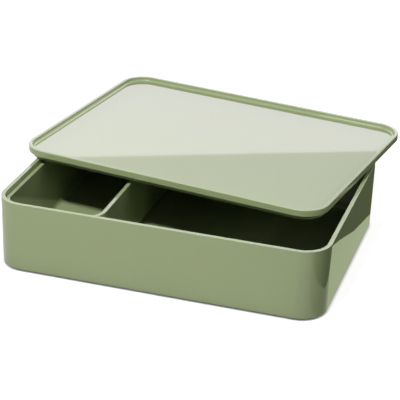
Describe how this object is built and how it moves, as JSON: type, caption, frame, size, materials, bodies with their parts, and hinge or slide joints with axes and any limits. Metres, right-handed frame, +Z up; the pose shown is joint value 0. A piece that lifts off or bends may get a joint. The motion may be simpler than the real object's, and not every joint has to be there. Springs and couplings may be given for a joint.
{
  "type": "desk box with lift-off lid",
  "caption": "Low rounded plastic desk box with a loose rimmed lid lying askew on it and a narrow insert tray standing inside.",
  "frame": {"origin": "middle of the box's footprint, on the desk that its feet stand on", "axes": "+X to the right along the box's long side, +Y to the back, +Z up"},
  "size_m": [0.3448, 0.3403, 0.0816],
  "materials": {
    "moulded_plastic": "gloss",
    "foot_rubber": "matt"
  },
  "bodies": {
    "box": {"box": "moulded_plastic", "foot_front_left": "foot_rubber", "foot_front_right": "foot_rubber", "foot_rear_left": "foot_rubber", "foot_rear_right": "foot_rubber"},
    "lid": {"lid": "moulded_plastic"},
    "insert_tray": {"insert_tray": "moulded_plastic"}
  },
  "joints": [
    {"name": "lid_lift", "type": "slide", "parent": "box", "child": "lid", "axis": [0, 0, 1], "range_m": [0, 0.15]},
    {"name": "tray_slide", "type": "slide", "parent": "box", "child": "insert_tray", "axis": [1, 0, 0], "range_m": [0, 0.2113]}
  ]
}
